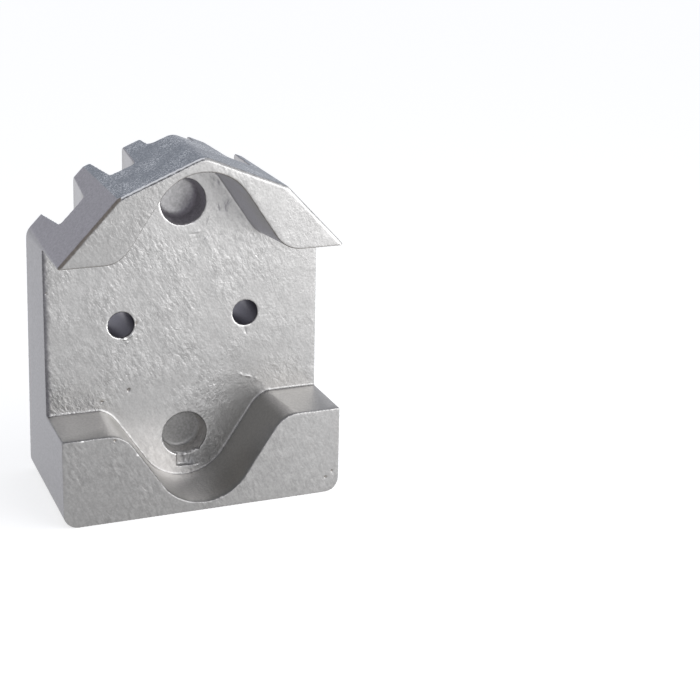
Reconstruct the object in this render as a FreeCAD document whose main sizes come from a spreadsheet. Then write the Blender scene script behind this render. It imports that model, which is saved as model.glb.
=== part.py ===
import FreeCAD, Part
import math
import os
import Sketcher

# Sacrificial anode: one casting, standing on its flat end.
# X runs across it, Y from the faces of the mounting lips to the fin tips, Z up to the ridge.

sizes = {
    # outline, seen from the mounting side: insets are from the sides, drops from the ridge
    "bottomWidth": 76.8,
    "bottomCornerRadius": 4.0,
    "sideInset": 0.5,
    "kneeInset": 16.0,
    "ridgeHeight": 96.4,
    "kneeDrop": 9.0,
    "eaveDrop": 25.4,
    "ridgeRadius": 4.0,
    "frontBevel": 0.65,
    # side profile
    "depthAtBottom": 42.3,
    "finTaper": 2.75,
    "flatEndRadius": 3.5,
    "roofEndRadius": 2.2,
    "eaveRadius": 6.0,
    "eaveDraft": 0.65,
    # channel across the mounting side, and the notches in its two lips
    "channelDepth": 18.6,
    "lowerLipLevel": 24.6,
    "lipBelowEave": 0.5,
    "lowerNotchEnd": 2.4,
    "notchBelowRidge": 3.8,
    "notchRadius": 13.7,
    "notchSlope": 56.5,
    "notchShoulder": 8.0,
    "lowerNotchDraft": 1.0,
    "upperNotchDraft": 4.0,
    # screw holes, blind recesses and the slot that runs out of the lower recess
    "holeSpacing": 34.8,
    "holeAboveMiddle": 0.55,
    "holeDiameter": 7.1,
    "recessDiameter": 12.5,
    "recessDraft": 3.0,
    "recessBelowRidge": 15.8,
    "upperRecessDepth": 7.8,
    "upperRecessFillet": 2.0,
    "lowerRecessHeight": 14.7,
    "lowerRecessDepth": 5.8,
    "lowerRecessFillet": 1.0,
    "slotCentre": 1.0,
    "slotWidth": 6.4,
    "slotBottom": 5.2,
    "slotDepth": 1.5,
    # fins and the grooves between them, measured at the fin tips
    "outerFin": 4.45,
    "middleFin": 4.35,
    "innerFin": 4.65,
    "grooveDraft": 4.3,
    "grooveFillet": 1.2,
    "padBelowHole": 12.7,
    "padAboveHole": 7.7,
    "centreGrooveMouth": 13.5,
    "centreGrooveDraft": 3.0,
    "centreGrooveFillet": 2.0,
    "finTipBreak": 0.5,
    "finTipSlope": 45.0,
    # metal left behind the channel at its upper end, and behind the upper recess
    "channelWeb": 2.1,
    "recessWeb": 3.0,
    # how far a cutting sketch reaches past the casting
    "overrun": 8.0,
}

# Sizes that follow from the ones above.
derived = {
    "eaveWidth": "bottomWidth - 2 * sideInset",
    "eaveHeight": "ridgeHeight - eaveDrop",
    "kneeWidth": "bottomWidth - 2 * kneeInset",
    "kneeHeight": "ridgeHeight - kneeDrop",
    "sideLean": "atan(sideInset / (eaveHeight - bottomCornerRadius))",
    "facetLean": "atan((kneeInset - sideInset) / (kneeHeight - eaveHeight))",
    "eaveTangent": "eaveRadius * tan((facetLean - sideLean) / 2)",
    "eaveArcAcross": "eaveWidth / 2 + eaveTangent * sin(sideLean) - eaveRadius * cos(sideLean)",
    "eaveArcHeight": "eaveHeight - eaveTangent * cos(sideLean) - eaveRadius * sin(sideLean)",
    "upperLipLevel": "eaveHeight - lipBelowEave",
    "upperNotchEnd": "ridgeHeight - notchBelowRidge",
    "upperRecessHeight": "ridgeHeight - recessBelowRidge",
    "holeHeight": "(lowerLipLevel + upperLipLevel) / 2 + holeAboveMiddle",
    "padBottom": "holeHeight - padBelowHole",
    "padTop": "holeHeight + padAboveHole",
    "grooveMouth": "(bottomWidth - centreGrooveMouth) / 4 - (innerFin + middleFin + outerFin) / 2",
    "innerGrooveCentre": "centreGrooveMouth / 2 + innerFin + grooveMouth / 2",
    "outerGrooveCentre": "innerGrooveCentre + middleFin + grooveMouth",
    "grooveDepth": "(depthAtBottom - channelDepth - channelWeb - upperLipLevel * tan(finTaper)) * cos(finTaper)",
    "centreGrooveDepth": "(depthAtBottom - channelDepth - upperRecessDepth - recessWeb"
                         " - upperRecessHeight * tan(finTaper)) * cos(finTaper)",
}

doc = FreeCAD.newDocument("SacrificialAnode")
sheet = doc.addObject("Spreadsheet::Sheet", "Sizes")
contents = {alias: str(size) for alias, size in sizes.items()}
contents.update((alias, "=" + formula) for alias, formula in derived.items())
for row, (alias, content) in enumerate(contents.items(), start=1):
    sheet.set("A%d" % row, alias)
    sheet.setAlias("B%d" % row, alias)
    sheet.set("B%d" % row, content)
doc.recompute()
sizes.update((alias, float(sheet.get(alias))) for alias in derived)

body = doc.addObject("PartDesign::Body", "AnodeCasting")
body.Label = "anode_casting"


def originPlane(role):
    return next(item for item in body.Origin.OriginFeatures if item.Role == role)


def addSketch(name, role):
    sketch = body.newObject("Sketcher::SketchObject", name)
    sketch.AttachmentSupport = [(originPlane(role), "")]
    sketch.MapMode = "FlatFace"
    return sketch


def lineAngle(line):
    run = line.EndPoint - line.StartPoint
    return math.atan2(run.y, run.x)


def dimension(sketch, kind, places, expression):
    """Add a dimension at its present size, then bind it to the sheet."""
    present = {
        "DistanceX": lambda: sketch.getPoint(*places[2:]).x - sketch.getPoint(*places[:2]).x,
        "DistanceY": lambda: sketch.getPoint(*places[2:]).y - sketch.getPoint(*places[:2]).y,
        "Radius": lambda: sketch.Geometry[places[0]].Radius,
        "Angle": lambda: lineAngle(sketch.Geometry[places[0]]),
    }[kind]()
    index = sketch.addConstraint(Sketcher.Constraint(kind, *places, present))
    sketch.setExpression("Constraints[%d]" % index, expression)


def addLine(sketch, start, end):
    return sketch.addGeometry(Part.LineSegment(FreeCAD.Vector(*start, 0), FreeCAD.Vector(*end, 0)))


def addArc(sketch, centre, radius, fromAngle, toAngle):
    circle = Part.Circle(FreeCAD.Vector(*centre, 0), FreeCAD.Vector(0, 0, 1), radius)
    arc = Part.ArcOfCircle(circle, math.radians(fromAngle), math.radians(toAngle))
    return sketch.addGeometry(arc)


def closeChain(sketch, chain, corners=()):
    """Join each piece to the next; an arc runs smoothly into its neighbours, save at the corners."""
    for first, second in zip(chain, chain[1:] + chain[:1]):
        ends = min(
            ((a, b) for a in (1, 2) for b in (1, 2)),
            key=lambda pair: (sketch.getPoint(first, pair[0]) - sketch.getPoint(second, pair[1])).Length,
        )
        bends = any(hasattr(sketch.Geometry[piece], "Radius") for piece in (first, second))
        kind = "Tangent" if bends and not {first, second} & set(corners) else "Coincident"
        sketch.addConstraint(Sketcher.Constraint(kind, first, ends[0], second, ends[1]))


def addRectangle(sketch, left, right, bottom, top, expressions):
    """Rectangle whose four sides are bound to expressions: left, right, bottom, top."""
    corners = [(left, bottom), (right, bottom), (right, top), (left, top)]
    lines = [addLine(sketch, corners[i], corners[(i + 1) % 4]) for i in range(4)]
    closeChain(sketch, lines)
    for line, kind in zip(lines, ("Horizontal", "Vertical", "Horizontal", "Vertical")):
        sketch.addConstraint(Sketcher.Constraint(kind, line))
    dimension(sketch, "DistanceX", (-1, 1, lines[0], 1), expressions[0])
    dimension(sketch, "DistanceX", (-1, 1, lines[1], 1), expressions[1])
    dimension(sketch, "DistanceY", (-1, 1, lines[0], 1), expressions[2])
    dimension(sketch, "DistanceY", (-1, 1, lines[2], 1), expressions[3])


def addCircle(sketch, centre, expressions):
    """Circle bound to three expressions: its radius, and the place of its centre across and up."""
    radius = sketch.evalExpression(expressions[0])
    circle = Part.Circle(FreeCAD.Vector(*centre, 0), FreeCAD.Vector(0, 0, 1), radius)
    index = sketch.addGeometry(circle)
    dimension(sketch, "Radius", (index,), expressions[0])
    dimension(sketch, "DistanceX", (-1, 1, index, 3), expressions[1])
    dimension(sketch, "DistanceY", (-1, 1, index, 3), expressions[2])


def addCut(name, sketch, depth=None, draft=None, reverse=False):
    """Pocket to a depth, narrower towards its floor by the draft, or through everything."""
    cut = body.newObject("PartDesign::Pocket", name)
    cut.Profile = sketch
    cut.Reversed = reverse
    if depth is None:
        cut.SideType = "Symmetric"
        cut.Type = "ThroughAll"
    else:
        cut.setExpression("Length", "Sizes." + depth)
    if draft is not None:
        cut.setExpression("TaperAngle", "-Sizes." + draft)
    sketch.Visibility = False
    doc.recompute()
    return cut


def dressEdges(kind, name, base, size, expression, chosen):
    """Fillet or chamfer the edges of base that chosen picks out."""
    names = ["Edge%d" % (i + 1) for i, edge in enumerate(base.Shape.Edges) if chosen(edge)]
    dress = body.newObject("PartDesign::" + kind, name)
    dress.Base = (base, names)
    dress.setExpression(size, expression)
    doc.recompute()
    return dress


def tipOffset(point):
    """Distance of a point below the sloping plane of the fin tips."""
    slope = math.radians(sheet.finTaper)
    return (sheet.depthAtBottom - point.y) * math.cos(slope) - point.z * math.sin(slope)


def middle(edge):
    return edge.valueAt((edge.FirstParameter + edge.LastParameter) / 2)


# Block with the outline of the casting: flat end below, steep and shallow roof facets above.
outline = addSketch("Outline", "XZ_Plane")
foot = sizes["bottomWidth"] / 2
eave = sizes["eaveWidth"] / 2
knee = sizes["kneeWidth"] / 2
corner = sizes["bottomCornerRadius"]
ridge = sizes["ridgeRadius"]
facet = math.degrees(math.atan2(sizes["ridgeHeight"] - sizes["kneeHeight"], knee))
ridgeCentre = sizes["ridgeHeight"] - ridge
ridgeSide = (ridge * math.sin(math.radians(facet)), ridgeCentre + ridge * math.cos(math.radians(facet)))
flatEnd = addLine(outline, (corner - foot, 0), (foot - corner, 0))
rightCorner = addArc(outline, (foot - corner, corner), corner, 270, 360)
rightSide = addLine(outline, (foot, corner), (eave, sizes["eaveHeight"]))
rightSteep = addLine(outline, (eave, sizes["eaveHeight"]), (knee, sizes["kneeHeight"]))
rightShallow = addLine(outline, (knee, sizes["kneeHeight"]), ridgeSide)
ridgeArc = addArc(outline, (0, ridgeCentre), ridge, 90 - facet, 90 + facet)
leftShallow = addLine(outline, (-ridgeSide[0], ridgeSide[1]), (-knee, sizes["kneeHeight"]))
leftSteep = addLine(outline, (-knee, sizes["kneeHeight"]), (-eave, sizes["eaveHeight"]))
leftSide = addLine(outline, (-eave, sizes["eaveHeight"]), (-foot, corner))
leftCorner = addArc(outline, (corner - foot, corner), corner, 180, 270)
closeChain(outline, [flatEnd, rightCorner, rightSide, rightSteep, rightShallow, ridgeArc,
                     leftShallow, leftSteep, leftSide, leftCorner])
outline.addConstraint(Sketcher.Constraint("PointOnObject", flatEnd, 1, -1))
outline.addConstraint(Sketcher.Constraint("PointOnObject", ridgeArc, 3, -2))
outline.addConstraint(Sketcher.Constraint("Equal", rightCorner, leftCorner))
for right, left in ((rightSide, leftSide), (rightSteep, leftSteep), (rightShallow, leftShallow)):
    outline.addConstraint(Sketcher.Constraint("Symmetric", right, 1, left, 2, -2))
dimension(outline, "Radius", (rightCorner,), "Sizes.bottomCornerRadius")
dimension(outline, "Radius", (ridgeArc,), "Sizes.ridgeRadius")
dimension(outline, "DistanceX", (leftSide, 2, rightSide, 1), "Sizes.bottomWidth")
dimension(outline, "DistanceX", (leftSteep, 2, rightSteep, 1), "Sizes.eaveWidth")
dimension(outline, "DistanceX", (leftShallow, 2, rightShallow, 1), "Sizes.kneeWidth")
dimension(outline, "DistanceY", (-1, 1, rightSteep, 1), "Sizes.eaveHeight")
dimension(outline, "DistanceY", (-1, 1, rightShallow, 1), "Sizes.kneeHeight")
dimension(outline, "DistanceY", (-1, 1, ridgeArc, 3), "Sizes.ridgeHeight - Sizes.ridgeRadius")
block = body.newObject("PartDesign::Pad", "Block")
block.Profile = outline
block.Reversed = True
block.setExpression("Length", "Sizes.depthAtBottom")
outline.Visibility = False
doc.recompute()

# The fin tips lie in one plane, which leans towards the mounting side.
tipProfile = addSketch("TipProfile", "YZ_Plane")
lean = math.tan(math.radians(sizes["finTaper"]))
over = sizes["overrun"]
topLevel = sizes["ridgeHeight"] + over
outside = sizes["depthAtBottom"] + over
corners = ((sizes["depthAtBottom"], 0), (sizes["depthAtBottom"] - topLevel * lean, topLevel),
           (outside, topLevel), (outside, 0))
tipLine, topLine, outerLine, footLine = (
    addLine(tipProfile, corners[i], corners[(i + 1) % 4]) for i in range(4))
closeChain(tipProfile, [tipLine, topLine, outerLine, footLine])
tipProfile.addConstraint(Sketcher.Constraint("Horizontal", topLine))
tipProfile.addConstraint(Sketcher.Constraint("Vertical", outerLine))
tipProfile.addConstraint(Sketcher.Constraint("PointOnObject", footLine, 1, -1))
tipProfile.addConstraint(Sketcher.Constraint("PointOnObject", footLine, 2, -1))
dimension(tipProfile, "DistanceX", (-1, 1, tipLine, 1), "Sizes.depthAtBottom")
dimension(tipProfile, "DistanceX", (-1, 1, outerLine, 1), "Sizes.depthAtBottom + Sizes.overrun")
dimension(tipProfile, "DistanceY", (-1, 1, topLine, 1), "Sizes.ridgeHeight + Sizes.overrun")
dimension(tipProfile, "Angle", (tipLine,), "90deg + Sizes.finTaper * 1deg")
tipSlope = addCut("TipSlope", tipProfile)

# The roof is rounded into the fin tips and bevelled along its front edge.
aboveEave = sizes["eaveHeight"] + 0.01
roofEnd = dressEdges(
    "Fillet", "RoofEnd", tipSlope, "Radius", "Sizes.roofEndRadius",
    lambda edge: abs(tipOffset(middle(edge))) < 0.01 and middle(edge).z > aboveEave)
dressEdges(
    "Chamfer", "FrontBevel", roofEnd, "Size", "Sizes.frontBevel",
    lambda edge: abs(middle(edge).y) < 0.01 and middle(edge).z > aboveEave)



def mirrorCut(name, cut):
    """The same cut on the right of the middle."""
    mirrored = body.newObject("PartDesign::Mirrored", name)
    mirrored.Originals = [cut]
    mirrored.MirrorPlane = (originPlane("YZ_Plane"), [""])
    body.Tip = mirrored
    doc.recompute()


# The eaves are rounded at the fin tips; the rounding fades out towards the mounting side.
eaveProfile = addSketch("EaveProfile", "XZ_Plane")
eaveProfile.setExpression("AttachmentOffset.Base.z", "-Sizes.depthAtBottom")
eaveCentre = (-sizes["eaveArcAcross"], sizes["eaveArcHeight"])
leans = (sizes["sideLean"], sizes["facetLean"])


def besideEave(distance, lean):
    """Point at a distance from the centre of the rounding, in a direction given by its lean."""
    angle = math.radians(180 - lean)
    return (eaveCentre[0] + distance * math.cos(angle), eaveCentre[1] + distance * math.sin(angle))


eaveArc = addArc(eaveProfile, eaveCentre, sizes["eaveRadius"], 180 - leans[1], 180 - leans[0])
sideEnd, facetEnd = (
    addLine(eaveProfile, besideEave(sizes["eaveRadius"], lean), besideEave(sizes["eaveRadius"] + over, lean))
    for lean in leans)
farSide = addLine(eaveProfile, *(besideEave(sizes["eaveRadius"] + over, lean) for lean in leans))
closeChain(eaveProfile, [eaveArc, sideEnd, farSide, facetEnd], corners=(sideEnd, facetEnd))
eaveProfile.addConstraint(Sketcher.Constraint("Equal", sideEnd, facetEnd))
dimension(eaveProfile, "Radius", (eaveArc,), "Sizes.eaveRadius")
dimension(eaveProfile, "DistanceX", (-1, 1, eaveArc, 3), "-Sizes.eaveArcAcross")
dimension(eaveProfile, "DistanceY", (-1, 1, eaveArc, 3), "Sizes.eaveArcHeight")
dimension(eaveProfile, "Angle", (sideEnd,), "180deg - Sizes.sideLean")
dimension(eaveProfile, "Angle", (facetEnd,), "180deg - Sizes.facetLean")
dimension(eaveProfile, "DistanceX", (sideEnd, 2, sideEnd, 1), "Sizes.overrun * cos(Sizes.sideLean)")
eaveRounding = addCut("EaveRounding", eaveProfile, depth="depthAtBottom", draft="eaveDraft", reverse=True)
mirrorCut("MirroredEaveRounding", eaveRounding)

# Channel right across the mounting side; what is left below and above it are the two lips.
channelProfile = addSketch("ChannelProfile", "YZ_Plane")
addRectangle(
    channelProfile, -over, sizes["channelDepth"], sizes["lowerLipLevel"], sizes["upperLipLevel"],
    ("-Sizes.overrun", "Sizes.channelDepth", "Sizes.lowerLipLevel", "Sizes.upperLipLevel"))
addCut("Channel", channelProfile)


def addNotch(name, lip, end, draft, up):
    """Notch cut into a lip from its level to its end, with a round floor and round shoulders."""
    level, reach = sizes[lip], up * (sizes[end] - sizes[lip])
    radius, shoulder, angle = sizes["notchRadius"], sizes["notchShoulder"], sizes["notchSlope"]
    sine, cosine = math.sin(math.radians(angle)), math.cos(math.radians(angle))
    slopeFoot = (radius * sine, reach - radius * (1 - cosine))
    slopeTop = (slopeFoot[0] + (slopeFoot[1] - shoulder * (1 - cosine)) * cosine / sine,
                shoulder * (1 - cosine))
    shoulderX = slopeTop[0] + shoulder * sine

    def place(x, depth):
        return (x, level + up * depth)

    profile = addSketch(name + "Profile", "XZ_Plane")
    turn = 90 * up
    floor = addArc(profile, place(0, reach - radius), radius, turn - angle, turn + angle)
    pieces = {}
    for side in (1, -1):
        slope = addLine(profile, place(side * slopeFoot[0], slopeFoot[1]),
                        place(side * slopeTop[0], slopeTop[1]))
        turns = sorted((-turn, -turn - side * up * angle))
        bend = addArc(profile, place(side * shoulderX, shoulder), shoulder, *turns)
        edge = addLine(profile, place(side * shoulderX, 0), place(side * shoulderX, -over))
        profile.addConstraint(Sketcher.Constraint("Vertical", edge))
        pieces[side] = (slope, bend, edge)
    mouth = addLine(profile, place(shoulderX, -over), place(-shoulderX, -over))
    closeChain(profile, [floor, *pieces[1], mouth, *reversed(pieces[-1])],
               corners=(pieces[1][2], pieces[-1][2]))
    profile.addConstraint(Sketcher.Constraint("PointOnObject", floor, 3, -2))
    profile.addConstraint(Sketcher.Constraint("Symmetric", mouth, 1, mouth, 2, -2))
    profile.addConstraint(Sketcher.Constraint("Equal", pieces[1][1], pieces[-1][1]))
    for slope, bend, edge in pieces.values():
        profile.addConstraint(Sketcher.Constraint("Vertical", bend, 3, edge, 1))
        dimension(profile, "DistanceY", (-1, 1, edge, 1), "Sizes." + lip)
    dimension(profile, "Radius", (floor,), "Sizes.notchRadius")
    dimension(profile, "Radius", (pieces[1][1],), "Sizes.notchShoulder")
    sign = "-" if up > 0 else "+"
    dimension(profile, "DistanceY", (-1, 1, floor, 3), "Sizes.%s %s Sizes.notchRadius" % (end, sign))
    dimension(profile, "DistanceY", (-1, 1, mouth, 1), "Sizes.%s %s Sizes.overrun" % (lip, sign))
    dimension(profile, "Angle", (pieces[1][0],), "%d * Sizes.notchSlope * 1deg" % -up)
    addCut(name, profile, depth="channelDepth", draft=draft)


addNotch("LowerNotch", "lowerLipLevel", "lowerNotchEnd", "lowerNotchDraft", -1)
addNotch("UpperNotch", "upperLipLevel", "upperNotchEnd", "upperNotchDraft", 1)

# Blind recesses on the centre line, and a shallow slot that runs down out of the lower one.
for name in ("upperRecess", "lowerRecess"):
    title = name[0].upper() + name[1:]
    mouth = addSketch(title + "Mouth", "XZ_Plane")
    mouth.setExpression("AttachmentOffset.Base.z", "-Sizes.channelDepth")
    addCircle(mouth, (0, sizes[name + "Height"]), ("Sizes.recessDiameter / 2", "0", "Sizes.%sHeight" % name))
    recess = addCut(title, mouth, depth=name + "Depth", draft="recessDraft")
    recessFloor = sizes["channelDepth"] + sizes[name + "Depth"]
    dressEdges("Fillet", title + "Rounding", recess, "Radius", "Sizes.%sFillet" % name,
               lambda edge: abs(middle(edge).y - recessFloor) < 0.01)
slotMouth = addSketch("SlotMouth", "XZ_Plane")
slotMouth.setExpression("AttachmentOffset.Base.z", "-Sizes.channelDepth")
halfSlot = sizes["slotWidth"] / 2
addRectangle(
    slotMouth, sizes["slotCentre"] - halfSlot, sizes["slotCentre"] + halfSlot,
    sizes["slotBottom"], sizes["lowerRecessHeight"],
    ("Sizes.slotCentre - Sizes.slotWidth / 2", "Sizes.slotCentre + Sizes.slotWidth / 2",
     "Sizes.slotBottom", "Sizes.lowerRecessHeight"))
addCut("Slot", slotMouth, depth="slotDepth")

# Grooves between the fins, cut square to the sloping plane of the fin tips.
# Two solid pads stay between the fins, where the screws pass through.


def addTipSketch(name):
    sketch = addSketch(name, "XZ_Plane")
    sketch.AttachmentOffset = FreeCAD.Placement(
        FreeCAD.Vector(0, 0, -sizes["depthAtBottom"]),
        FreeCAD.Rotation(FreeCAD.Vector(1, 0, 0), sizes["finTaper"]))
    sketch.setExpression("AttachmentOffset.Base.z", "-Sizes.depthAtBottom")
    sketch.setExpression("AttachmentOffset.Rotation.Angle", "Sizes.finTaper")
    doc.recompute()
    return sketch


def addMouths(name, breaks):
    """Mouths of the grooves left of the middle, grown all round by a number of fin tip breaks."""
    mouths = addTipSketch(name)
    grow, growth = breaks * sizes["finTipBreak"], "%d * Sizes.finTipBreak" % breaks
    half = sizes["grooveMouth"] / 2 + grow
    for centre in ("outerGrooveCentre", "innerGrooveCentre"):
        left, right = -sizes[centre] - half, -sizes[centre] + half
        sides = ("-Sizes.%s - Sizes.grooveMouth / 2 - %s" % (centre, growth),
                 "-Sizes.%s + Sizes.grooveMouth / 2 + %s" % (centre, growth))
        addRectangle(mouths, left, right, -over, sizes["padBottom"] + grow,
                     (*sides, "-Sizes.overrun", "Sizes.padBottom + " + growth))
        addRectangle(mouths, left, right, sizes["padTop"] - grow, topLevel,
                     (*sides, "Sizes.padTop - " + growth, "Sizes.ridgeHeight + Sizes.overrun"))
    return mouths


def addCentreMouth(name, breaks):
    """Mouth of the groove in the middle, grown to both sides by a number of fin tip breaks."""
    mouth = addTipSketch(name)
    half = sizes["centreGrooveMouth"] / 2 + breaks * sizes["finTipBreak"]
    side = "(Sizes.centreGrooveMouth / 2 + %d * Sizes.finTipBreak)" % breaks
    addRectangle(mouth, -half, half, -over, topLevel,
                 ("-" + side, side, "-Sizes.overrun", "Sizes.ridgeHeight + Sizes.overrun"))
    return mouth


grooves = addCut("Grooves", addMouths("GrooveMouths", 0), depth="grooveDepth", draft="grooveDraft",
                 reverse=True)
mirrorCut("MirroredGrooves", grooves)
addCut("CentreGroove", addCentreMouth("CentreGrooveMouth", 0), depth="centreGrooveDepth",
       draft="centreGrooveDraft", reverse=True)

# Screw holes, side by side, through the channel floor and the pads.
holeCentres = addSketch("HoleCentres", "XZ_Plane")
for side in (-1, 1):
    addCircle(holeCentres, (side * sizes["holeSpacing"] / 2, sizes["holeHeight"]),
              ("Sizes.holeDiameter / 2", "%d * Sizes.holeSpacing / 2" % side, "Sizes.holeHeight"))
doc.recompute()
holes = body.newObject("PartDesign::Hole", "ScrewHoles")
holes.Profile = holeCentres
holes.DepthType = "ThroughAll"
holes.setExpression("Diameter", "Sizes.holeDiameter")
holeCentres.Visibility = False
doc.recompute()

# Every groove is rounded at its floor and ends.


def runs(edge, axis):
    """True for a straight edge that lies closer to the axis than the drafts lean."""
    if edge.Curve.TypeId != "Part::GeomLine":
        return False
    return abs(edge.tangentAt(edge.FirstParameter).dot(axis)) > 0.95


def onGrooveEnd(edge):
    return sizes["padBottom"] - 3 < middle(edge).z < sizes["padTop"] + 3


def atDepth(edge, depth):
    return abs(tipOffset(middle(edge)) - depth) < 0.01


across, through, up = FreeCAD.Vector(1, 0, 0), FreeCAD.Vector(0, 1, 0), FreeCAD.Vector(0, 0, 1)
grooveEdges = dressEdges(
    "Fillet", "GrooveRounding", holes, "Radius", "Sizes.grooveFillet",
    lambda edge: (atDepth(edge, sizes["grooveDepth"])
                  and (runs(edge, up) or runs(edge, across) and onGrooveEnd(edge)))
    or (atDepth(edge, sizes["grooveDepth"] / 2) and runs(edge, through) and onGrooveEnd(edge)))
dressEdges(
    "Fillet", "CentreGrooveRounding", grooveEdges, "Radius", "Sizes.centreGrooveFillet",
    lambda edge: atDepth(edge, sizes["centreGrooveDepth"]) and runs(edge, up))

# The sharp edges of the fin tips are broken where the grooves run out.
tipBreaks = addCut("TipBreaks", addMouths("TipBreakMouths", 1), depth="finTipBreak",
                   draft="finTipSlope", reverse=True)
mirrorCut("MirroredTipBreaks", tipBreaks)
addCut("CentreTipBreak", addCentreMouth("CentreTipBreakMouth", 1), depth="finTipBreak",
       draft="finTipSlope", reverse=True)

# Last, the fins are rounded off at the flat end.
endProfile = addSketch("EndProfile", "YZ_Plane")
endRadius = sizes["flatEndRadius"]
tilt = math.radians(sizes["finTaper"])
arcY = sizes["depthAtBottom"] - endRadius * (math.tan(tilt) + 1 / math.cos(tilt))
tangentPoint = (arcY + endRadius * math.cos(tilt), endRadius * (1 + math.sin(tilt)))
endArc = addArc(endProfile, (arcY, endRadius), endRadius, 270, 360 + sizes["finTaper"])
tipRun = addLine(endProfile, tangentPoint, (sizes["depthAtBottom"], 0))
endRun = addLine(endProfile, (sizes["depthAtBottom"], 0), (arcY, 0))
closeChain(endProfile, [endArc, tipRun, endRun])
dimension(endProfile, "Radius", (endArc,), "Sizes.flatEndRadius")
endProfile.addConstraint(Sketcher.Constraint("PointOnObject", endRun, 2, -1))
endProfile.addConstraint(Sketcher.Constraint("PointOnObject", endRun, 1, -1))
dimension(endProfile, "DistanceX", (-1, 1, endRun, 1), "Sizes.depthAtBottom")
dimension(endProfile, "Angle", (tipRun,), "Sizes.finTaper * 1deg - 90deg")
addCut("FlatEndRounding", endProfile)

# The origin is the middle of the footprint.
body.setExpression(
    "Placement.Base.y",
    "-(Sizes.depthAtBottom + Sizes.flatEndRadius * (1 - tan(Sizes.finTaper) - 1 / cos(Sizes.finTaper))) / 2")
doc.recompute()

for item in doc.Objects:
    if "Invalid" in item.State or "Error" in item.State:
        raise RuntimeError("%s did not build: %s" % (item.Name, item.State))
casting = body.Shape
if casting.isNull() or not casting.isValid() or len(casting.Solids) != 1:
    raise RuntimeError("the casting is not one valid solid")

os.makedirs("parts", exist_ok=True)
casting.exportStep("parts/%s.step" % body.Label)
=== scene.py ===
import math

import bmesh
import bpy
import numpy as np
from mathutils import Euler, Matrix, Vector


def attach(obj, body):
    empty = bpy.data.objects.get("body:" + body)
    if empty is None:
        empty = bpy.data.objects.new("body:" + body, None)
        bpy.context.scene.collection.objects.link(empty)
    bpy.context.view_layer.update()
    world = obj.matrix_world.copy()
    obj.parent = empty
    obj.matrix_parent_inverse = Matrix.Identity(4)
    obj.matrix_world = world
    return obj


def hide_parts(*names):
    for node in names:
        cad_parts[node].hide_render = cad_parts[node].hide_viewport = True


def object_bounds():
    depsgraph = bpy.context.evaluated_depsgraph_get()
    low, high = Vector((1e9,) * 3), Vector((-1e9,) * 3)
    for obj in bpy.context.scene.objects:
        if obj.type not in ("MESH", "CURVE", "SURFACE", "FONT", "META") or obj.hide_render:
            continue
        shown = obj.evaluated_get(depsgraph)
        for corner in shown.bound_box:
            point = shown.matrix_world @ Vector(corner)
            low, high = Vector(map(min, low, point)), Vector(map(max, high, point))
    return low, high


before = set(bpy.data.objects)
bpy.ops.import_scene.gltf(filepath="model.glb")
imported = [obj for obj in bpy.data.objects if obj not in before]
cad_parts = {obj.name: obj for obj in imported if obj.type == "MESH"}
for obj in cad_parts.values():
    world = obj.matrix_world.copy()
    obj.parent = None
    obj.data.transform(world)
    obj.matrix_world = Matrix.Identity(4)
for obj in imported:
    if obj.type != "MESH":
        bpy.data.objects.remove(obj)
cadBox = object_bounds()
mm = 0.001


def linear(code):
    # sRGB hex to the linear colour that Blender works in
    parts = [int(code[i:i + 2], 16) / 255 for i in (1, 3, 5)]
    return [c / 12.92 if c <= 0.04045 else ((c + 0.055) / 1.055) ** 2.4 for c in parts] + [1.0]


def addNode(owner, kind, settings=None, links=None):
    # one node of a material or world: its settings by name or socket number, and what runs into its sockets
    node = owner.node_tree.nodes.new(kind)
    for name, value in (settings or {}).items():
        if isinstance(name, str) and hasattr(node, name):
            setattr(node, name, value)
        else:
            node.inputs[name].default_value = value
    for name, source in (links or {}).items():
        owner.node_tree.links.new(source, node.inputs[name])
    return node


# The casting: the CAD solid with the rounded edges, draft, swell and flaws that the mould gave it.
casting = {
    "grain": 0.24,         # voxel of the mesh that carries the skin, mm
    "edgeSoftness": 0.5,
    "edgePasses": 8,       # smoothing passes that round every edge off
    "triangles": 190000,
    "draft": 0.45,         # how far sides and roof close in towards the fin tips, mm
    "swellSize": 7.0,      # broad unevenness of the mounting side: its width and height, mm
    "swellHeight": 0.22,
    "tipSize": 2.2,        # the same on the fin tips and pads
    "tipHeight": 0.22,
    "tipBand": 0.6,        # how deep below the tips it reaches
    "flawReach": 0.9,      # a flaw changes what lies this near its level, mm
    "ringWidth": 0.55,     # from the crest of an ejector ring to its foot
    "slotFall": 1.42,      # how much the slot rises from its deep end to its shallow one
    "rimWidth": 0.7,       # skin about a round rim that keeps its full count of faces
    "rimDepth": 1.2,
    "eaveWidth": 1.3,
}
# levels of the CAD solid in mm and the lean of the fin tips
levels = {"floor": -2.464, "lips": -21.064, "slot": -0.964, "tips": 21.236, "lean": math.radians(2.75)}
# outline and round holes of the CAD solid, mm
outline = {"halfWidth": 38.4, "ridge": 96.4, "knee": 22.4, "kneeDrop": 9.0, "endWidth": 15.5, "endDrop": 16.4}
holes = {"upperRecess": 80.6, "lowerRecess": 14.7, "recessRadius": 6.25,
         "boreAcross": 17.4, "boreUp": 48.1, "boreRadius": 3.55}
slot = {"left": -2.6, "right": 4.7, "bottom": 4.8, "top": 9.6, "deepEnd": -1.0, "shallowEnd": 4.0}

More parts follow.
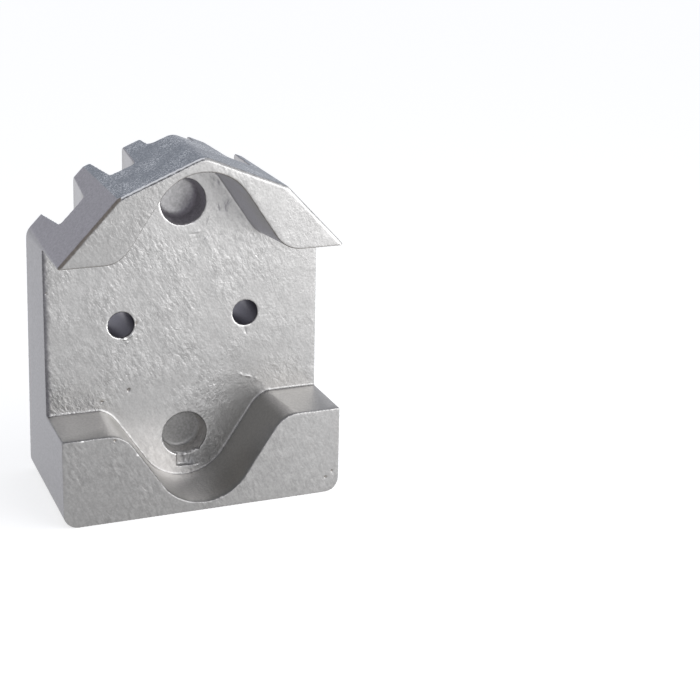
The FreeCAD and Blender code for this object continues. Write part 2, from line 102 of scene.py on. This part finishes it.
# one flaw: level, x, z, length, width, turn in degrees, height (below 0 is a pit), all in mm
flaws = [
    ("floor", -37.0, 58.8, 1.0, 0.8, 20, -0.30),
    ("floor", -15.6, 29.5, 1.3, 1.0, 60, -0.45),
    ("floor", -22.9, 27.0, 1.2, 0.8, 10, -0.30),
    ("floor", 16.2, 30.3, 2.4, 0.8, -30, 0.10),
    ("floor", 18.3, 29.5, 2.8, 0.7, -12, 0.12),
    ("floor", 20.6, 28.6, 1.8, 0.8, -40, 0.09),
    ("floor", 17.5, 43.0, 3.2, 0.6, -75, -0.22),
    ("slot", 0.2, 8.0, 1.8, 0.9, 12, 0.80),
    ("slot", 1.9, 8.2, 2.2, 0.9, -6, 1.00),
    ("floor", -16.6, 44.1, 2.4, 0.6, -8, 0.30),
    ("floor", -14.7, 45.0, 2.2, 0.6, 42, 0.32),
    ("floor", -15.9, 43.1, 1.2, 0.7, 0, 0.20),
    ("floor", -13.2, 48.2, 1.8, 0.6, 80, -0.30),
    ("lips", 34.6, 4.6, 1.3, 0.8, 20, -0.35),
    ("lips", 36.4, 6.2, 1.0, 0.7, 50, -0.35),
    ("lips", -24.4, 23.4, 1.1, 0.9, 0, -0.35),
    ("lips", -32.9, 24.2, 1.4, 0.7, 0, 0.25),
    ("lips", -18.5, 18.4, 1.2, 0.7, -45, 0.30),
    ("lips", -11.2, 8.6, 3.4, 0.9, -55, 0.30),
    ("tips", -27.2, 45.2, 5.4, 5.0, 0, 0.22),
    ("tips", -37.0, 9.0, 2.6, 1.4, 80, -0.50),
    ("tips", 7.9, 66.7, 2.8, 1.2, 70, 0.45),
    ("tips", -7.4, 7.1, 1.6, 1.2, 30, -0.40),
    ("tips", -34.6, 7.1, 1.5, 1.2, 10, -0.40),
    ("tips", 34.9, 62.0, 2.4, 0.9, 85, -0.40),
    ("tips", 21.9, 78.0, 2.2, 1.1, 95, 0.35),
]
flashHighlightFrom, pitShadeFrom = 0.22, -0.28    # flaws higher than the first get a painted highlight as flash, deeper than the second get painted shade
# rings that the ejector pins left on the pads: x, z, radius, height
ejectorRings = [(-27.2, 45.2, 2.2, 0.30), (30.2, 45.5, 2.1, 0.35), (14.3, 42.8, 1.0, 0.32)]
# cold-flow wrinkles beside the upper recess: the fan they lie in, then the range of each one's sizes
wrinkles = {"count": 44, "nearest": 7.6, "farthest": 15.0, "fan": (-75, 40), "length": (2.0, 5.0),
            "width": (0.5, 1.0), "skew": (-30, 30), "height": 0.14}

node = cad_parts["anode_casting"]
mesh = bpy.data.meshes.new("castBody")
shape = bmesh.new()
shape.from_mesh(node.data)
bmesh.ops.remove_doubles(shape, verts=shape.verts, dist=0.002 * mm)
shape.to_mesh(mesh)
shape.free()
body = bpy.data.objects.new("castBody", mesh)
bpy.context.scene.collection.objects.link(body)


def bake(piece):
    # the modifiers' result becomes the mesh
    graph = bpy.context.evaluated_depsgraph_get()
    finished = bpy.data.meshes.new_from_object(piece.evaluated_get(graph))
    piece.modifiers.clear()
    piece.data = finished


def readPoints(piece):
    # places and normals of the vertices, places in mm
    count = len(piece.data.vertices)
    places, normals = np.empty(count * 3), np.empty(count * 3)
    piece.data.vertices.foreach_get("co", places)
    piece.data.vertices.foreach_get("normal", normals)
    return places.reshape(-1, 3) / mm, normals.reshape(-1, 3)


def writePoints(piece, places):
    piece.data.vertices.foreach_set("co", (places * mm).ravel())
    piece.data.update()


def ramp(value, low, high):
    # smooth step from 0 at low to 1 at high
    share = np.clip((value - low) / (high - low), 0, 1)
    return share * share * (3 - 2 * share)


def belowTips(places):
    # distance of a point below the leaning plane of the fin tips
    return (levels["tips"] - places[:, 1]) * math.cos(levels["lean"]) - places[:, 2] * math.sin(levels["lean"])


def roofLevel(x):
    # height of the roof over a place across the casting
    across = np.abs(x)
    shallow = outline["ridge"] - across * outline["kneeDrop"] / outline["knee"]
    knee = outline["ridge"] - outline["kneeDrop"]
    return np.where(across < outline["knee"], shallow,
                    knee - (across - outline["knee"]) * outline["endDrop"] / outline["endWidth"])


def fromHoles(places):
    # distance from the middle of the nearest recess, and from that of the nearest bore
    x, z = places[:, 0], places[:, 2]
    fromRecess = np.minimum(np.hypot(x, z - holes["upperRecess"]), np.hypot(x, z - holes["lowerRecess"]))
    return fromRecess, np.hypot(np.abs(x) - holes["boreAcross"], z - holes["boreUp"])


def dabShare(places, level, x, z, length, width, turn):
    # 1 in the middle of a flaw, 0 outside it
    turned = math.radians(turn)
    along = (places[:, 0] - x) * math.cos(turned) + (places[:, 2] - z) * math.sin(turned)
    aside = (places[:, 2] - z) * math.cos(turned) - (places[:, 0] - x) * math.sin(turned)
    reach = 1 - (2 * along / length) ** 2 - (2 * aside / width) ** 2
    off = belowTips(places) if level == "tips" else places[:, 1] - levels[level]
    return np.where(np.abs(off) < casting["flawReach"], np.clip(reach, 0, 1) ** 1.5, 0)


# the grid of the remesh lies askew to the casting, so that it draws no steps along the edges
askew = Euler((0.46, 0.61, 0.28)).to_matrix().to_4x4()
body.data.transform(askew)
remesh = body.modifiers.new("grain", "REMESH")
remesh.mode = "VOXEL"
remesh.voxel_size = casting["grain"] * mm
soften = body.modifiers.new("moulded edges", "SMOOTH")
soften.factor = casting["edgeSoftness"]
soften.iterations = casting["edgePasses"]
bake(body)
body.data.transform(askew.inverted())
body.data.update()
print("skin mesh:", len(body.data.polygons), "faces")

places, normals = readPoints(body)
regions = {
    "swell": normals[:, 1] < -0.9,
    "roughTips": (normals[:, 1] > 0.6) & (belowTips(places) < casting["tipBand"]),
}
for name, members in regions.items():
    body.vertex_groups.new(name=name).add(np.nonzero(members)[0].tolist(), 1.0, "REPLACE")
for name, size, height in (("swell", "swellSize", "swellHeight"), ("roughTips", "tipSize", "tipHeight")):
    pattern = bpy.data.textures.new(name, "CLOUDS")
    pattern.noise_scale = casting[size] * mm
    raised = body.modifiers.new(name, "DISPLACE")
    raised.texture = pattern
    raised.texture_coords = "LOCAL"
    raised.strength = casting[height] * mm
    raised.mid_level = 0.5
    raised.vertex_group = name
bake(body)

places, normals = readPoints(body)
randoms = np.random.RandomState(8)
for i in range(wrinkles["count"]):
    turn = math.radians(randoms.uniform(*wrinkles["fan"]))
    distance = randoms.uniform(wrinkles["nearest"], wrinkles["farthest"])
    x = distance * math.cos(turn)
    z = holes["upperRecess"] + distance * math.sin(turn)
    flaws.append(("floor", x, z, randoms.uniform(*wrinkles["length"]), randoms.uniform(*wrinkles["width"]),
                  math.degrees(turn) + 90 + randoms.uniform(*wrinkles["skew"]),
                  wrinkles["height"] * randoms.uniform(-1, 1)))
for level, x, z, length, width, turn, height in flaws:
    outward = 1 if level == "tips" else -1
    facing = ramp(outward * normals[:, 1], 0.3, 0.8)
    places[:, 1] += outward * height * facing * dabShare(places, level, x, z, length, width, turn)
for x, z, radius, height in ejectorRings:
    fromRing = np.abs(np.hypot(places[:, 0] - x, places[:, 2] - z) - radius)
    onPad = ramp(normals[:, 1], 0.3, 0.8) * (belowTips(places) < casting["flawReach"])
    places[:, 1] += height * ramp(-fromRing, -casting["ringWidth"], 0) * onPad
# the slot runs out shallow towards the right
x, y, z = places.T
inSlot = (x > slot["left"]) & (x < slot["right"]) & (z > slot["bottom"]) & (z < slot["top"]) & (y < 0)
slotFloor = levels["slot"] - casting["slotFall"] * ramp(x, slot["deepEnd"], slot["shallowEnd"])
places[:, 1] = np.where(inSlot, np.minimum(y, slotFloor), y)
depth = (places[:, 1] - levels["lips"]) / (levels["tips"] - levels["lips"])
places[:, 0] *= 1 - depth * casting["draft"] / outline["halfWidth"]
places[:, 2] *= 1 - depth * casting["draft"] / outline["ridge"]
writePoints(body, places)

# the rims of the round holes and the front edges of the roof keep their full count of faces
fromRecess, fromBore = fromHoles(places)
atRim = ((np.abs(fromRecess - holes["recessRadius"]) < casting["rimWidth"])
         | (np.abs(fromBore - holes["boreRadius"]) < casting["rimWidth"]))
atEave = (places[:, 1] < -20.0) & (np.abs(places[:, 2] - roofLevel(places[:, 0])) < casting["eaveWidth"])
kept = (atRim & (np.abs(places[:, 1] - levels["floor"]) < casting["rimDepth"])) | atEave
body.vertex_groups.new(name="rims").add(np.nonzero(kept)[0].tolist(), 1.0, "REPLACE")
thin = body.modifiers.new("thin out", "DECIMATE")
thin.ratio = casting["triangles"] / (2 * len(body.data.polygons))
thin.vertex_group = "rims"
thin.invert_vertex_group = True
bake(body)
body.data.polygons.foreach_set("use_smooth", [True] * len(body.data.polygons))
body.vertex_groups.clear()
print("after thinning:", len(body.data.polygons), "faces")

# nothing stands proud of the CAD box
writePoints(body, np.clip(readPoints(body)[0], np.array(cadBox[0]) / mm, np.array(cadBox[1]) / mm))

# Where each finish lies, for the material: shares from 0 to 1, read off places in mm and slopes.
places, normals = readPoints(body)
below = belowTips(places)
x, y, z = places.T
facing, up = -normals[:, 1], normals[:, 2]
front = ramp(facing, 0.55, 0.85)
upper = z > holes["boreUp"]
toRight = ramp(x, -10, 38)                       # the skin gets calmer towards the right

overRoof = z - roofLevel(x)
onRoof = ramp(overRoof, -2.4, -1.4) * ramp(up, 0.3, 0.5)
shallow = ramp(up, 0.78, 0.86)
steep = onRoof * (1 - shallow)
flank = ramp(np.abs(normals[:, 0]), 0.85, 0.95) * (np.abs(x) > 36)
bevel = ramp(facing, 0.25, 0.5) * (1 - ramp(facing, 0.9, 0.97)) * ramp(overRoof, -1.6, -1.2)
leftBevel = bevel * (x > -21.5) * (x < 0)
eaveEdge = 0.7 * ramp(-up, 0.2, 0.5) * ramp(facing, 0.15, 0.4) * (y < -19.5) * upper

fromRecess, fromBore = fromHoles(places)
inRecess = (fromRecess < 6.7) & (y > -2.1) & (y < 7)
inBore = (fromBore < 3.9) & (y > -2.1)
inLower = inRecess * ~upper
# painted highlight: the mouths of the round holes are painted pale low on their left
nearBore = fromBore < 5
holeX = np.where(nearBore, holes["boreAcross"] * np.sign(x), 0)
holeZ = np.where(nearBore, holes["boreUp"], np.where(upper, holes["upperRecess"], holes["lowerRecess"]))
mouth = np.maximum(ramp(-np.abs(fromRecess - 6.3), -0.5, -0.2), ramp(-np.abs(fromBore - 3.6), -0.5, -0.2))
mouth = mouth * (y < -1.9) * (y > -2.8) * ramp(holeX - x + holeZ - z, 0, 5)

flash = np.max([dabShare(places, *flaw[:-1]) for flaw in flaws
                if flaw[-1] > flashHighlightFrom and flaw[0] != "tips"], axis=0)
pits = np.max([dabShare(places, *flaw[:-1]) for flaw in flaws if flaw[-1] < pitShadeFrom], axis=0)

onPlate = front * (y > -3.5) * ~inRecess
inNotch = (ramp(-y, 2.5, 3.2) * ramp(y, -20.6, -19.8) * (np.abs(x) < 37.9)
           * (1 - onRoof) * ramp(z, 0.8, 1.2))
notchBottom = ramp(up, 0.3, 0.8) * ramp(-x, -9, 1)
notchSteps = ramp(up, 0.8, 0.95) * (z < 26) * (0.6 + 0.2 * (x < 0))
leftOfV = ramp(-x, -4, 6) * ramp(-z, -25, -14) * ramp(x, -30, -18)
# two calm places beside the lower notch, and the front of the upper lip
calm = 0.6 * np.maximum(ramp(-np.hypot(x - 18, z - 27), -10, -4), ramp(-np.hypot(x + 13, z - 20), -14, -6))
upperLip = (y < -19.5) * upper

finishes = {
    "skin": front * ~inRecess * (1.05 - 0.45 * toRight) * (1 - calm - 0.35 * upperLip),
    # painted shade: the front of the lower lip is painted darker, more on the left
    "lip": front * ramp(-y, 19.5, 20.5) * ramp(-z, -26, -24) * (1 - 0.8 * toRight),
    # painted reflection: the shallow roof facets are painted dark and bluish, standing in for the dim surroundings
    # they mirror
    "roof": onRoof * shallow,
    # painted shade: the left of the upper lip's front is painted darker
    "upperLipLeftShade": front * upperLip * ramp(-x, -4, 8),
    "steep": steep,
    # painted shade: steep roof facets at positive x are painted darker, holding down the lamp's highlight on them
    "farSteepShade": steep * (x > 0),
    # painted light: the notch walls are painted lighter than the bare metal, against the shade in them, and bluer
    # in the upper notch
    "notchWallPaintedLight": inNotch,
    "upperNotchWallPaintedLight": inNotch * upper,
    # painted light: the upward floors and steps of the notches are painted pale, more on the left
    "stepPaintedLight": inNotch * np.where(z < 12, notchBottom, notchSteps),
    # painted light: a pale pool on the plate and notch left of the lower V
    "plateLeftOfVPaintedLight": 0.8 * np.maximum(onPlate, inNotch) * leftOfV,
    # painted shade: the side faces are painted darker than the bare metal
    "flank": flank,
    "sand": np.max([flank, steep, inRecess], axis=0),
    # painted light: the fin tips are painted pale, as if lit from above; the same share gives them stronger relief
    # and more shine
    "tip": ramp(-facing, 0.3, 0.7) * ramp(-below, -1.2, -0.7),
    # painted light: the grooves are painted lighter, against the shade deep in them
    "groovePaintedLight": (ramp(below, 0.8, 1.6) * ramp(y, 2.0, 3.0) * (np.abs(x) < 36.5)
               * ~inRecess * ~inBore * (1 - onRoof)),
    # painted light: the recesses are painted lighter, against the shade in them; the same share makes them rougher
    "recess": inRecess * 1.0,
    "recessShade": inRecess * upper * ramp(0.85 * x - 0.5 * (z - holes["upperRecess"]), 1.5, 6.0),
    # painted light: the walls of the recesses are painted lighter
    "recessWall": inRecess * (1 - ramp(facing, 0.5, 0.9)),
    # painted shade: the lower recess is painted darker
    "lowerRecess": inLower * 1.0,
    # painted light: the walls of the lower recess are painted pale, against the dark they mirror
    "lowerWallPaintedLight": inLower * (1 - ramp(facing, 0.3, 0.7)),
    # painted shade: the bores are painted darker
    "bore": inBore * 1.0,
    "shadedRim": np.max([bevel * (x < -21.5), pits, eaveEdge], axis=0),
    # painted shade: a dark band along the plate's left edge
    "plateEdgeShade": ramp(-x, 36.7, 37.3) * (y > -3.5) * (y < -1.2) * ramp(facing, 0.3, 0.6),
    # painted light: the front bevel on the right of the roof is painted pale
    "rightBevelPaintedLight": bevel * (x > 0),
    # painted highlight: pale hole mouths and raised flash
    "paintedRimHighlight": np.maximum(mouth, flash),
    "litRim": leftBevel * ramp(facing, 0.3, 0.5),
    # painted shade: a dark line low on the front bevel left of the middle
    "bevelShadeLine": leftBevel * ramp(facing, 0.68, 0.8),
    # painted shade: sloping edges at the plate's level, low and right of the middle, are painted dark
    "vEdgeShade": (ramp(facing, 0.25, 0.4) * (1 - ramp(facing, 0.8, 0.95)) * (y > -3.4) * (y < -1.8)
              * (z < 27) * (x > 1) * ~inRecess),
}
for name, share in finishes.items():
    body.data.attributes.new(name, "FLOAT", "POINT").data.foreach_set("value", np.asarray(share, dtype=float))
print("finishes:", ", ".join("%s %.2f" % (name, np.mean(share)) for name, share in finishes.items()))

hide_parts("anode_casting")
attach(body, "root")

# Anode alloy as it left the mould: satin, hammered where it lay against the rough half,
# smooth on the drafted walls. Lengths and heights are in mm. The tints go on in this order; most of them are
# painted light or painted shade, not the alloy's own colour.
finish = {
    "bare": "#a6a5a4",
    "tints": {"lip": "#969594", "upperLipLeftShade": "#9b9a99", "roof": "#838992", "steep": "#a8a5aa",
              "farSteepShade": "#8c8a8d", "notchWallPaintedLight": "#afada9", "upperNotchWallPaintedLight": "#b2b1b9", "stepPaintedLight": "#d2d0ce",
              "plateLeftOfVPaintedLight": "#c8c6c4", "flank": "#97969a", "tip": "#cccdcf", "groovePaintedLight": "#b6b5b8",
              "recess": "#b8b7b7", "recessShade": "#88858a", "recessWall": "#b4b1b6",
              "lowerRecess": "#939291", "lowerWallPaintedLight": "#cfcdcb", "bore": "#86848c",
              "shadedRim": "#857e77", "plateEdgeShade": "#6c6b6e", "rightBevelPaintedLight": "#b9b8b6",
              "paintedRimHighlight": "#e8e7e5", "litRim": "#ffffff", "bevelShadeLine": "#5e5c5c", "vEdgeShade": "#858483"},
    "hollows": 0.84,         # painted shade: how far the skin darkens in its hollows
    "crests": 1.16,          # and how far its worn crests are lighter
    "grainShade": 0.14,      # from one grain to the next on the sandy walls, both ways
    "grainElsewhere": 0.5,   # share of it on the rest
    "glintColour": "#f2f4f7",     # painted glints: the colour of pale specks on the roof
    "unglintedShare": 0.45,       # share of the specks that get no painted glint
    "roughness": 0.37,
    "recessRoughness": 0.55,
    "tipRoughness": 0.25,    # the fin tips are shinier and rougher cast than the skin
    "tipRelief": 2.2,
    "dimpleLength": 1.3,
    "dimpleWidth": 0.5,
    "dimpleTurn": 62,        # degrees below the horizontal, towards the right
    "dimpleHeight": 0.145,
    "pebbleSize": 0.5,
    "pebbleHeight": 0.135,
    "patchSize": 11.0,       # from one rougher patch of skin to the next
    "calmest": 0.35,         # relief left between them
    "grainSize": 0.38,
    "grainHeight": 0.035,
    "sparkleSize": 0.25,
}
# of each noise: how many of its cells make one mark, and the values that count as its low and high
noises = {
    "dimples": {"cells": 0.55, "low": 0.36, "high": 0.66},
    "pebbles": {"cells": 0.6},
    "patches": {"cells": 1.0, "low": 0.38, "high": 0.62},
    "grain": {"cells": 0.6, "low": 0.32, "high": 0.68},
}
metal = bpy.data.materials.new("castAnodeAlloy")
metal.use_nodes = True
metal.node_tree.nodes.clear()
coords = addNode(metal, "ShaderNodeTexCoord").outputs["Object"]
shares = {name: addNode(metal, "ShaderNodeAttribute", {"attribute_name": name}).outputs["Fac"] for name in finishes}

leaning = addNode(metal, "ShaderNodeMapping",
                  {"vector_type": "TEXTURE", "Rotation": (0, math.radians(finish["dimpleTurn"]), 0),
                   "Scale": (finish["dimpleLength"] / finish["dimpleWidth"], 1, 1)},
                  {"Vector": coords})
dimples = addNode(metal, "ShaderNodeTexNoise",
                  {"Scale": noises["dimples"]["cells"] / (finish["dimpleWidth"] * mm),
                   "Detail": 2.0, "Distortion": 0.35},
                  {"Vector": leaning.outputs["Vector"]})
pebbles = addNode(metal, "ShaderNodeTexNoise",
                  {"Scale": noises["pebbles"]["cells"] / (finish["pebbleSize"] * mm),
                   "Detail": 2.0, "Distortion": 0.6},
                  {"Vector": coords})
patches = addNode(metal, "ShaderNodeTexNoise",
                  {"Scale": noises["patches"]["cells"] / (finish["patchSize"] * mm), "Detail": 1.0},
                  {"Vector": coords})
grain = addNode(metal, "ShaderNodeTexNoise",
                {"Scale": noises["grain"]["cells"] / (finish["grainSize"] * mm), "Detail": 2.0},
                {"Vector": coords})

# relief: dimples and pebbles on the skin and the fin tips, stronger in patches, and a fine grain all over
strength = addNode(metal, "ShaderNodeMapRange",
                   {"From Min": noises["patches"]["low"], "From Max": noises["patches"]["high"],
                    "To Min": finish["calmest"]},
                   {"Value": patches.outputs["Fac"]})
pebbled = addNode(metal, "ShaderNodeMath", {"operation": "MULTIPLY", 1: finish["pebbleHeight"]},
                  {0: pebbles.outputs["Fac"]})
hammered = addNode(metal, "ShaderNodeMath", {"operation": "MULTIPLY_ADD", 1: finish["dimpleHeight"]},
                   {0: dimples.outputs["Fac"], 2: pebbled.outputs[0]})
patched = addNode(metal, "ShaderNodeMath", {"operation": "MULTIPLY"},
                  {0: hammered.outputs[0], 1: strength.outputs[0]})
rough = addNode(metal, "ShaderNodeMath", {"operation": "MULTIPLY_ADD", 1: finish["tipRelief"]},
                {0: shares["tip"], 2: shares["skin"]})
grained = addNode(metal, "ShaderNodeMath", {"operation": "MULTIPLY", 1: finish["grainHeight"]},
                  {0: grain.outputs["Fac"]})
height = addNode(metal, "ShaderNodeMath", {"operation": "MULTIPLY_ADD"},
                 {0: patched.outputs[0], 1: rough.outputs[0], 2: grained.outputs[0]})
relief = addNode(metal, "ShaderNodeBump", {"Strength": 1.0, "Distance": mm}, {"Height": height.outputs[0]})

# colour: the tint of each finish, mostly painted light and shade, then painted glints on the roof, then painted
# shade in the hollows of the skin and lighter worn crests, then grain
tint = addNode(metal, "ShaderNodeRGB")
tint.outputs[0].default_value = linear(finish["bare"])
colour = tint.outputs[0]
for name, code in finish["tints"].items():
    layer = addNode(metal, "ShaderNodeMix", {"data_type": "RGBA", 7: linear(code)}, {0: shares[name], 6: colour})
    colour = layer.outputs[2]
# painted glints: pale specks on the shallow roof, stronger where the relief is
glintCells = addNode(metal, "ShaderNodeTexVoronoi", {"Scale": 1 / (finish["sparkleSize"] * mm)}, {"Vector": coords})
glint = addNode(metal, "ShaderNodeSeparateColor", None, {"Color": glintCells.outputs["Color"]})
glintSpecks = addNode(metal, "ShaderNodeMapRange",
                 {"interpolation_type": "SMOOTHSTEP", "From Min": finish["unglintedShare"], "From Max": 1.0},
                 {"Value": glint.outputs["Red"], "To Max": strength.outputs[0]})
glintShare = addNode(metal, "ShaderNodeMath", {"operation": "MULTIPLY"}, {0: glintSpecks.outputs[0], 1: shares["roof"]})
glinted = addNode(metal, "ShaderNodeMix", {"data_type": "RGBA", 7: linear(finish["glintColour"])},
                  {0: glintShare.outputs[0], 6: colour})
shadeAndWear = addNode(metal, "ShaderNodeMapRange",
               {"From Min": noises["dimples"]["low"], "From Max": noises["dimples"]["high"],
                "To Min": finish["hollows"], "To Max": finish["crests"]},
               {"Value": dimples.outputs["Fac"]})
shadeAndWearShare = addNode(metal, "ShaderNodeMath", {"operation": "MULTIPLY"}, {0: strength.outputs[0], 1: shares["skin"]})
shaded = addNode(metal, "ShaderNodeMix", {"data_type": "RGBA", "blend_type": "MULTIPLY"},
                 {0: shadeAndWearShare.outputs[0], 6: glinted.outputs[2], 7: shadeAndWear.outputs[0]})
grainTone = addNode(metal, "ShaderNodeMapRange",
                    {"From Min": noises["grain"]["low"], "From Max": noises["grain"]["high"],
                     "To Min": 1 - finish["grainShade"], "To Max": 1 + finish["grainShade"]},
                    {"Value": grain.outputs["Fac"]})
sandy = addNode(metal, "ShaderNodeMapRange", {"To Min": finish["grainElsewhere"]}, {"Value": shares["sand"]})
toned = addNode(metal, "ShaderNodeMix", {"data_type": "RGBA", "blend_type": "MULTIPLY"},
                {0: sandy.outputs[0], 6: shaded.outputs[2], 7: grainTone.outputs[0]})
gloss = addNode(metal, "ShaderNodeMapRange",
                {"To Min": finish["roughness"], "To Max": finish["recessRoughness"]},
                {"Value": shares["recess"]})
tipGloss = addNode(metal, "ShaderNodeMapRange", {"To Max": finish["tipRoughness"]},
                   {"Value": shares["tip"], "To Min": gloss.outputs[0]})
surface = addNode(metal, "ShaderNodeBsdfPrincipled", {"Metallic": 1.0},
                  {"Base Color": toned.outputs[2], "Roughness": tipGloss.outputs[0],
                   "Normal": relief.outputs["Normal"]})
addNode(metal, "ShaderNodeOutputMaterial", None, {"Surface": surface.outputs["BSDF"]})
body.data.materials.clear()
body.data.materials.append(metal)
print("finish set")

# Floor, light and camera, in metres and watts.
studio = {
    "floorSize": 8,
    "floorColour": "#bebebe",
    "floorGlow": 0.66,       # brings the lit floor up to white where it is seen
    "worldColour": "#d0d2d8",
    "worldLevel": 0.97,
    "backdrop": "#ffffff",   # what the camera sees above the floor's end
}
# name, place, aim, size, power
softboxes = [
    ("keySoftbox", (0.26, -0.26, 0.14), (0, 0, 0.05), (0.60, 0.30), 0.74),
    ("lowSoftbox", (0.17, -0.14, 0.08), (0.05, -0.09, 0), (0.32, 0.26), 0.40),
]
# found by fitting the photo's view
camera = {"lens": 85.745, "sensor": 36, "place": (-0.12425, -0.40877, 0.19410), "turn": (70.022, -1.651, -22.447)}

bpy.ops.mesh.primitive_plane_add(size=studio["floorSize"], location=(0, 0, 0))
floor = bpy.context.object
floor.name = "floor"
# white paper, matte
paper = bpy.data.materials.new("whitePaper")
paper.use_nodes = True
paper.node_tree.nodes.clear()
ray = addNode(paper, "ShaderNodeLightPath")
cameraOrGlossy = addNode(paper, "ShaderNodeMath", {"operation": "MAXIMUM"},
                         {0: ray.outputs["Is Camera Ray"], 1: ray.outputs["Is Glossy Ray"]})
seen = addNode(paper, "ShaderNodeMath", {"operation": "MAXIMUM"},
               {0: cameraOrGlossy.outputs[0], 1: ray.outputs["Is Transmission Ray"]})
level = addNode(paper, "ShaderNodeMath", {"operation": "MULTIPLY", 1: studio["floorGlow"]}, {0: seen.outputs[0]})
matte = addNode(paper, "ShaderNodeBsdfDiffuse", {"Color": linear(studio["floorColour"])})
glow = addNode(paper, "ShaderNodeEmission", None, {"Strength": level.outputs[0]})
both = addNode(paper, "ShaderNodeAddShader", None, {0: matte.outputs[0], 1: glow.outputs[0]})
addNode(paper, "ShaderNodeOutputMaterial", None, {"Surface": both.outputs[0]})
floor.data.materials.append(paper)

world = bpy.data.worlds.new("studio")
world.use_nodes = True
world.node_tree.nodes.clear()
sight = addNode(world, "ShaderNodeLightPath")
sky = addNode(world, "ShaderNodeBackground",
              {"Color": linear(studio["worldColour"]), "Strength": studio["worldLevel"]})
white = addNode(world, "ShaderNodeBackground", {"Color": linear(studio["backdrop"]), "Strength": 1.0})
around = addNode(world, "ShaderNodeMixShader", None,
                 {0: sight.outputs["Is Camera Ray"], 1: sky.outputs[0], 2: white.outputs[0]})
addNode(world, "ShaderNodeOutputWorld", None, {"Surface": around.outputs[0]})
bpy.context.scene.world = world

for name, place, aim, size, power in softboxes:
    lamp = bpy.data.lights.new(name, "AREA")
    lamp.shape = "RECTANGLE"
    lamp.size, lamp.size_y = size
    lamp.energy = power
    holder = bpy.data.objects.new(name, lamp)
    holder.location = place
    holder.rotation_euler = (Vector(aim) - Vector(place)).to_track_quat("-Z", "Y").to_euler()
    holder.visible_camera = False
    bpy.context.scene.collection.objects.link(holder)

shot = bpy.data.cameras.new("shot")
shot.lens = camera["lens"]
shot.sensor_width = camera["sensor"]
shotHolder = bpy.data.objects.new("shot", shot)
shotHolder.location = camera["place"]
shotHolder.rotation_euler = [math.radians(angle) for angle in camera["turn"]]
bpy.context.scene.collection.objects.link(shotHolder)
bpy.context.scene.camera = shotHolder
bpy.context.scene.view_settings.view_transform = "Standard"
print("studio set")
